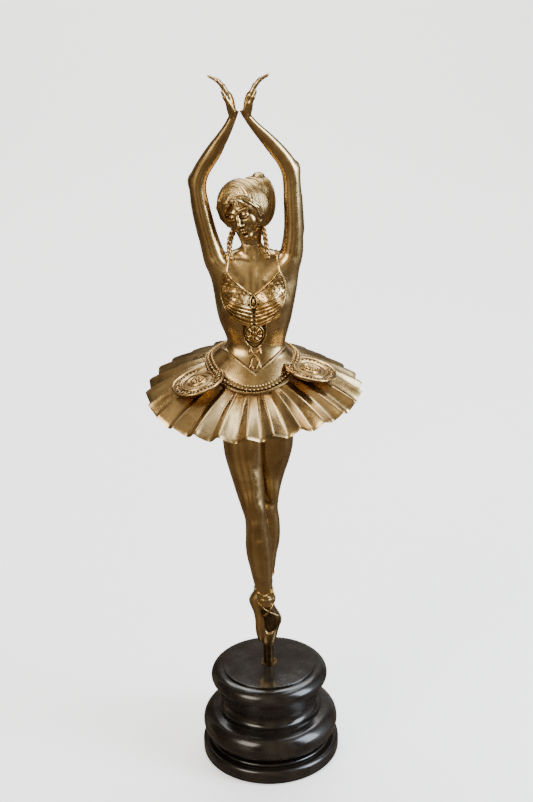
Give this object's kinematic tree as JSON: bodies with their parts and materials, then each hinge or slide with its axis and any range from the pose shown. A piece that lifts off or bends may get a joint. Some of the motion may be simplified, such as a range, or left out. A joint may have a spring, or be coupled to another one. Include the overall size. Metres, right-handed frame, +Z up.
{
  "type": "statuette",
  "caption": "Cast bronze ballerina standing on crossed points with arms overhead, in a pleated tutu, turning on the central stud of a round turned marble plinth.",
  "frame": {"origin": "centre of the felt's underside, on the plinth's axis", "axes": "+Z up along the plinth's axis and through the peg; the dancer's front faces -Y; +X is the dancer's left"},
  "size_m": [0.242, 0.242, 0.8061],
  "materials": {
    "bronze": "polished cast bronze with darker patina left in the recesses",
    "peg_bronze": "dark patinated bronze rod",
    "marble": "polished black marble, turned",
    "felt": "dark felt",
    "steel": "zinc-plated steel"
  },
  "bodies": {
    "plinth": {"plinth_foot": "marble", "plinth_roll": "marble", "plinth_cap": "marble", "felt_pad": "felt"},
    "figure": {"mounting_peg": "peg_bronze", "stud": "steel", "stud_nut": "steel", "stud_washer": "steel", "spring_washer": "steel", "swivel_washer": "peg_bronze", "right_leg": "bronze", "left_leg": "bronze", "right_slipper": "bronze", "left_slipper": "bronze", "right_ribbons": "bronze", "left_ribbons": "bronze", "torso": "bronze", "bodice_front": "bronze", "right_strap": "bronze", "left_strap": "bronze", "tutu_yoke": "bronze", "tutu": "bronze", "hip_band": "bronze", "right_medallion": "bronze", "left_medallion": "bronze", "head": "bronze", "hair": "bronze", "hair_bun": "bronze", "right_braid": "bronze", "left_braid": "bronze", "right_arm": "bronze", "left_arm": "bronze", "right_hand": "bronze", "left_hand": "bronze", "neck_dowel": "steel", "right_shoulder_dowel": "steel", "left_shoulder_dowel": "steel", "right_hip_dowel": "steel", "left_hip_dowel": "steel", "right_wrist_dowel": "steel", "left_wrist_dowel": "steel"}
  },
  "joints": [
    {"name": "figure_swivel", "type": "hinge", "parent": "plinth", "child": "figure", "pos_m": [0, 0, 0.117], "axis": [0, 0, 1], "continuous": true}
  ]
}
